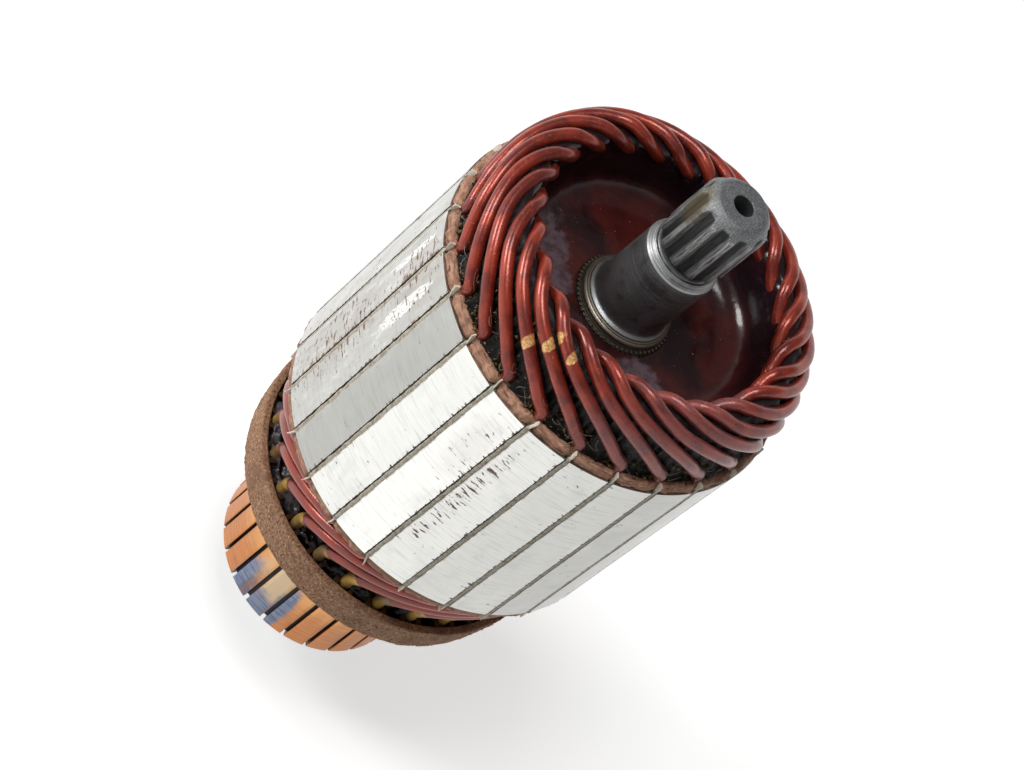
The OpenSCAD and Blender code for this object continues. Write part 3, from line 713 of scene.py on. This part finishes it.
copper, tree, shader = new_finish("worn_copper")
place, angle, radius, level = along(tree)
track = put(tree, "TexNoise", {"W": level, "Scale": 3.0, "Detail": 6.0, "Roughness": 0.65},
    noise_dimensions="1D")
spread = put(tree, "CombineXYZ", {0: times(tree, angle, 0.0003), 1: times(tree, level, 0.001)})
streak = grain(tree, put(tree, "Mapping", {0: spread, 3: (0.12, 1.0, 1.0)}), 0.5, 4.0, 0.65)
patch = grain(tree, place, 3.0, 4.0)
front = step(tree, calc(tree, "ADD", level, times(tree, patch, 9.0)), 20.0, 30.0)
orange = over(tree, display(214, 142, 80), display(190, 116, 64), step(tree, track, 0.4, 0.66))
orange = over(tree, orange, display(255, 196, 122), times(tree, front, 0.7))
orange = over(tree, orange, display(226, 160, 108), times(tree, step(tree, streak, 0.5, 0.7), 0.5))
orange = over(tree, orange, display(150, 92, 78), times(tree, step(tree, patch, 0.55, 0.75), 0.35))
ragged = frayed(tree, place, 2.6, 1.5)
pale = most(tree, spot(tree, angle, level, (48.5, 20.5), (6.5, 7.5), ragged, 0.35), calc(
    tree, "MULTIPLY", spot(tree, angle, level, (36.0, 18.5), (4.5, 5.5), ragged, 0.5), 0.45))
blue = most(
    tree, spot(tree, angle, level, (31.5, 13.0), (5.2, 6.0), ragged, 0.4),
    spot(tree, angle, level, (46.5, 12.0), (9.0, 3.6), ragged, 0.4),
    spot(tree, angle, level, (58.5, 15.0), (4.6, 7.0), ragged, 0.35))
orange = over(tree, orange, display(238, 212, 172), times(tree, pale, 0.85))
steel_blue = over(tree, display(70, 108, 156), display(132, 156, 184), step(tree, streak, 0.4, 0.62))
orange = over(tree, orange, steel_blue, times(tree, blue, 0.9))
dark_violet = spot(tree, angle, level, (37.5, 13.5), (2.6, 4.5), ragged, 0.5)
orange = over(tree, orange, display(92, 74, 92), times(tree, dark_violet, 0.6))
soot = times(tree, step(tree, radius, 17.3, 17.1), step(tree, level, 33.7, 33.5))
soot = most(tree, soot, step(tree, level, 33.6, 33.9))
orange = over(tree, orange, display(24, 17, 15), times(tree, soot, 0.93))
tree.links.new(orange, shader.inputs["Base Color"])
tree.links.new(calc(tree, "SUBTRACT", 0.72, times(tree, most(tree, soot, blue, pale), 0.5)),
    shader.inputs["Metallic"])
shader.inputs["Roughness"].default_value = 0.42
bump(tree, shader, calc(tree, "ADD", times(tree, track, 0.8), streak), 0.03, 0.7)
for name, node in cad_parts.items():
    if name.startswith("bar_"):
        node.data.materials.clear()
        node.data.materials.append(copper)
        weld = node.modifiers.new("weld", "WELD")
        weld.merge_threshold = 0.00001
        rounding = node.modifiers.new("rounding", "BEVEL")
        rounding.width, rounding.segments, rounding.angle_limit = 0.00018, 2, np.radians(40)

# Black varnish was run over the risers and into the roots of the leads, and set in lumps.
pool_line = np.array([
    (14.5, 40.6), (14.7, 41.2), (16.5, 41.6), (18.5, 41.9), (20.5, 42.0), (22.4, 41.9),
    (23.7, 41.3), (24.8, 40.2), (25.45, 39.2), (25.45, 38.4), (24.0, 37.8), (15.0, 38.8)])
pool_line = denser(pool_line, 0.35)
pool_turn = np.linspace(0, 2 * np.pi, 421)[:-1]
pool_points = turned(pool_line, pool_turn)
upper = np.clip((pool_line[:, 1:] - 39.0) / 1.0, 0, 1)


def lumpy(points, size, seed):
    """Smooth noise in space, of size about 1: cosines of random waves about size millimetres
    long in random directions, with random phases, added up."""
    pick = np.random.default_rng(seed)
    waves = pick.normal(0, 2 * np.pi / size / 1.7, (48, 3))
    return np.cos(points @ waves.T + pick.uniform(0, 2 * np.pi, 48)).sum(-1) / np.sqrt(24)


heave = lumpy(pool_points, 5.0, 8) * 0.55 + lumpy(pool_points, 1.8, 9) * 0.3
pool_points[..., 2] += upper * heave
varnish_black, tree, shader = new_finish("black_varnish")
place, angle, radius, level = along(tree)
haze = grain(tree, place, 2.4, 4.0)
black = over(tree, display(12, 9, 11), display(34, 20, 22), step(tree, haze, 0.42, 0.66))
# a grey-violet patch on one side of the glossy black varnish is painted reflection
side = spot(tree, angle, radius, (4.0, 23.0), (24.0, 9.0), frayed(tree, place, 3.0, 1.0), 0.4)
black = over(tree, black, display(96, 88, 96), times(tree, times(tree, side, step(tree, haze, 0.3, 0.6)),
    0.75))
black = over(tree, black, display(128, 92, 60), times(tree, step(tree, grain(tree, place, 1.1, 4.0), 0.66,
    0.74), 0.5))
tree.links.new(black, shader.inputs["Base Color"])
shader.inputs["Roughness"].default_value = 0.2
shader.inputs["Specular IOR Level"].default_value = 0.25
bump(tree, shader, grain(tree, place, 0.9, 4.0), 0.25, 0.7)
pool = add_piece("riser_varnish", *skin(pool_points, loop=True), varnish_black, sharp=70)

# ---- Bandage ----
# A band of cord wound round the forks over the leads and set hard in resin. Outside it is
# rough and speckled brown, inside dark red gloss.
band_line = np.array([
    (25.5, 33.6), (25.5, 40.6), (25.62, 40.85), (25.85, 40.93), (26.75, 40.93), (26.98, 40.85),
    (27.08, 40.6), (26.35, 35.0), (26.12, 33.85), (25.9, 33.62)])
# The bore is a plain cylinder, so only the rest of the section takes points between its corners.
band_line = np.vstack((band_line[:1], denser(band_line[1:], 0.12)))
band_turn = np.linspace(0, 2 * np.pi, 1101)[:-1]
band_points = turned(band_line, band_turn)
outer = np.clip((band_line[:, :1] - 25.75) / 0.3, 0, 1)
pebbles = lumpy(band_points, 0.55, 10) * 0.045 + lumpy(band_points, 2.5, 11) * 0.03
band_points[..., :2] *= (1 + outer * (pebbles - 0.08) / 26.5)[..., None]

wound, tree, shader = new_finish("resin_bonded_cord")
place, angle, radius, level = along(tree)
speckle = grain(tree, place, 0.42, 4.0, 0.75)
cells = put(tree, "TexVoronoi", {"Vector": place, "Scale": 2600.0})
cord_brown = over(tree, display(168, 128, 100), display(98, 66, 52), step(tree, speckle, 0.46, 0.38))
cord_brown = over(tree, cord_brown, display(222, 182, 142), step(tree, speckle, 0.55, 0.64))
cord_brown = over(tree, cord_brown, display(112, 76, 58), times(tree,
    step(tree, grain(tree, place, 4.0, 3.0), 0.45, 0.7), 0.45))
lining = step(tree, radius, 25.78, 25.58)
cord_brown = over(tree, cord_brown, display(58, 22, 20), lining)
tree.links.new(cord_brown, shader.inputs["Base Color"])
tree.links.new(put(tree, "MapRange", {"Value": lining, "To Min": 0.72, "To Max": 0.25}),
    shader.inputs["Roughness"])
shader.inputs["Specular IOR Level"].default_value = 0.3
bump(tree, shader, calc(tree, "SUBTRACT", speckle, times(tree, cells, 0.5)), 0.16, 0.9)
band = add_piece("cord_band", *skin(band_points, loop=True), wound, sharp=60)
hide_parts("bandage")

# ---- Dirt of use ----
# Crumbs of fibre and brush dust have gathered in oil round the slots' ends and between the
# wires, and a few threads of lint were caught there. They cling on and are no parts.
scatter = np.random.default_rng(21)
crumb_count = 5200
slot_of = scatter.integers(0, 25, crumb_count)
near_slot = scatter.random(crumb_count) < 0.62
crumb_turn = np.radians(slot_of * pitch + np.where(
    near_slot, scatter.normal(-2.0, 2.6, crumb_count), scatter.uniform(-7.2, 7.2, crumb_count)))
crumb_h = np.where(near_slot, np.abs(scatter.normal(0, 0.9, crumb_count)),
    scatter.gamma(1.4, 2.2, crumb_count))
crumb_h = np.minimum(crumb_h, 9.0)
hug = np.interp(crumb_h, [0, 0.3, 1.2, 3, 5, 7, 8.7, 9.9], [28.2, 27.7, 27.3, 27.2, 27.15, 27.0, 26.6,
    25.7])
crumb_r = hug + scatter.uniform(-0.05, 0.3, crumb_count) + np.where(
    crumb_h < 0.8, scatter.uniform(-1.5, 1.0, crumb_count), 0)
crumb_r = np.minimum(crumb_r, 29.2)
middle = np.stack([crumb_r * np.cos(crumb_turn), crumb_r * np.sin(crumb_turn),
    resin_front + crumb_h + 0.04], 1)
corner = np.array([(1, 0, 0), (-1, 0, 0), (0, 1, 0), (0, -1, 0), (0, 0, 1), (0, 0, -1)], float)
block = np.array([(0, 2, 4), (2, 1, 4), (1, 3, 4), (3, 0, 4), (2, 0, 5), (1, 2, 5), (3, 1, 5), (0, 3, 5)])
lump = corner * scatter.uniform(0.06, 0.2, (crumb_count, 1, 3)) * scatter.gamma(2.0, 0.5,
    (crumb_count, 1, 1)).clip(0.4, 2.6)
crumb_points = (middle[:, None] + lump + scatter.normal(0, 0.03, lump.shape)).reshape(-1, 3)
crumb_faces = (block + 6 * np.arange(crumb_count)[:, None, None]).reshape(-1, 3)

crumbly, tree, shader = new_finish("brush_dust")
place, angle, radius, level = along(tree)
pick_colour = grain(tree, place, 0.8, 2.0)
earth = over(tree, display(62, 48, 32), display(124, 106, 66), step(tree, pick_colour, 0.42, 0.55))
earth = over(tree, earth, display(196, 176, 140), step(tree, pick_colour, 0.62, 0.68))
tree.links.new(earth, shader.inputs["Base Color"])
shader.inputs["Roughness"].default_value = 0.8
shader.inputs["Specular IOR Level"].default_value = 0.2
crumbs = add_piece("dirt_crumbs", crumb_points, [crumb_faces], crumbly)

threads = []
for k in range(110):
    turn0 = np.radians(scatter.integers(0, 25) * pitch + scatter.normal(-2, 4))
    run = scatter.uniform(1.5, 5.5)
    rise = scatter.uniform(0.2, 4.0)
    bend = scatter.normal(0, 0.5, (3, 3))
    t = np.linspace(0, 1, 12)
    turns = turn0 + np.radians(run) * (t - 0.5) * scatter.choice([-1, 1]) + 0.02 * bend[0,
        0] * np.sin(3 * t)
    h = rise + scatter.normal(0, 1.4) * (t - 0.5) + 0.5 * bend[1, 0] * np.sin(np.pi * t)
    r = np.interp(h, [0, 0.6, 2, 7, 9], [28.8, 28.9, 28.4, 28.3,
        27.2]) + 0.3 * np.sin(np.pi * t) + 0.1 * bend[2, 0]
    path = np.stack([r * np.cos(turns), r * np.sin(turns), resin_front + np.maximum(h, 0.1)], 1)
    threads.append(skin(tube(path, scatter.uniform(0.025, 0.05) + 0 * t, 4)))
sizes = np.cumsum([0] + [len(points) for points, faces in threads[:-1]])
thread_faces = [f + size for (points, faces), size in zip(threads, sizes) for f in faces]

linty, tree, shader = new_finish("grey_lint")
place, angle, radius, level = along(tree)
tree.links.new(over(tree, display(150, 146, 138), display(96, 84, 66), grain(tree, place, 2.0)),
    shader.inputs["Base Color"])
shader.inputs["Roughness"].default_value = 0.7
lint = add_piece("lint_threads", np.concatenate([points for points, faces in threads]), thread_faces, linty)

# ---- Floor and light ----
# A pale floor under the shaft's end, a soft overhead light and a broad one from the side.
floor_mesh = bpy.data.meshes.new("floor")
floor_mesh.from_pydata([(-3, -3, 0), (3, -3, 0), (3, 3, 0), (-3, 3, 0)], [], [(0, 1, 2, 3)])
floor = bpy.data.objects.new("floor", floor_mesh)
bpy.context.scene.collection.objects.link(floor)


def seen_only(tree, plain):
    """1 for rays from the camera, off a glossy surface or through glass, and plain for light."""
    path = tree.nodes.new("ShaderNodeLightPath")
    seen = calc(tree, "MAXIMUM", path.outputs["Is Camera Ray"], path.outputs["Is Glossy Ray"])
    seen = calc(tree, "MAXIMUM", seen, path.outputs["Is Transmission Ray"])
    return put(tree, "MapRange", {"Value": seen, "To Min": plain, "To Max": 1.0})


pale, tree, shader = new_finish("pale_floor")
shader.inputs["Base Color"].default_value = display(225, 225, 224)
shader.inputs["Roughness"].default_value = 0.9
shader.inputs["Specular IOR Level"].default_value = 0.0
shader.inputs["Emission Color"].default_value = (1, 1, 1, 1)
tree.links.new(times(tree, seen_only(tree, 0.0), 0.62), shader.inputs["Emission Strength"])
floor_mesh.materials.append(pale)

world = bpy.data.worlds.new("studio")
bpy.context.scene.world = world
world.use_nodes = True
tree = world.node_tree
tree.nodes["Background"].inputs["Color"].default_value = (1, 1, 1, 1)
# a reflection sees a bright wall all round and a dim ceiling; the camera sees plain white
looks = put(tree, "TexCoord", {}, out=0)
parts = tree.nodes.new("ShaderNodeSeparateXYZ")
tree.links.new(looks, parts.inputs[0])
ceiling = put(tree, "MapRange", {"Value": parts.outputs[2], "From Min": 0.2, "From Max": 0.62,
    "To Min": 1.0, "To Max": 0.22}, interpolation_type="SMOOTHSTEP")
path = tree.nodes.new("ShaderNodeLightPath")
mirrored = times(tree, path.outputs["Is Glossy Ray"], ceiling)
plain_seen = most(tree, path.outputs["Is Camera Ray"], path.outputs["Is Transmission Ray"], mirrored)
fill = times(tree, ceiling, 0.34)
tree.links.new(calc(tree, "MAXIMUM", plain_seen, calc(
    tree, "MULTIPLY", fill, calc(tree, "SUBTRACT", 1.0,
        path.outputs["Is Glossy Ray"]))), tree.nodes["Background"].inputs["Strength"])


def lamp(name, place, aim, size, watts):
    """A square soft light of that size in metres, at place and turned to aim."""
    light = bpy.data.lights.new(name, "AREA")
    light.shape, light.size, light.energy = "SQUARE", size, watts
    holder = bpy.data.objects.new(name, light)
    bpy.context.scene.collection.objects.link(holder)
    holder.location = place
    holder.rotation_euler = (Vector(aim) - Vector(place)).to_track_quat("-Z", "Y").to_euler()


lamp("overhead", (0.25, 0.0, 0.9), (0, 0, 0.08), 0.3, 3.6)
lamp("side", (0.75, -0.25, 0.4), (0, 0, 0.08), 0.24, 3.8)
bpy.context.scene.view_settings.view_transform = "Standard"
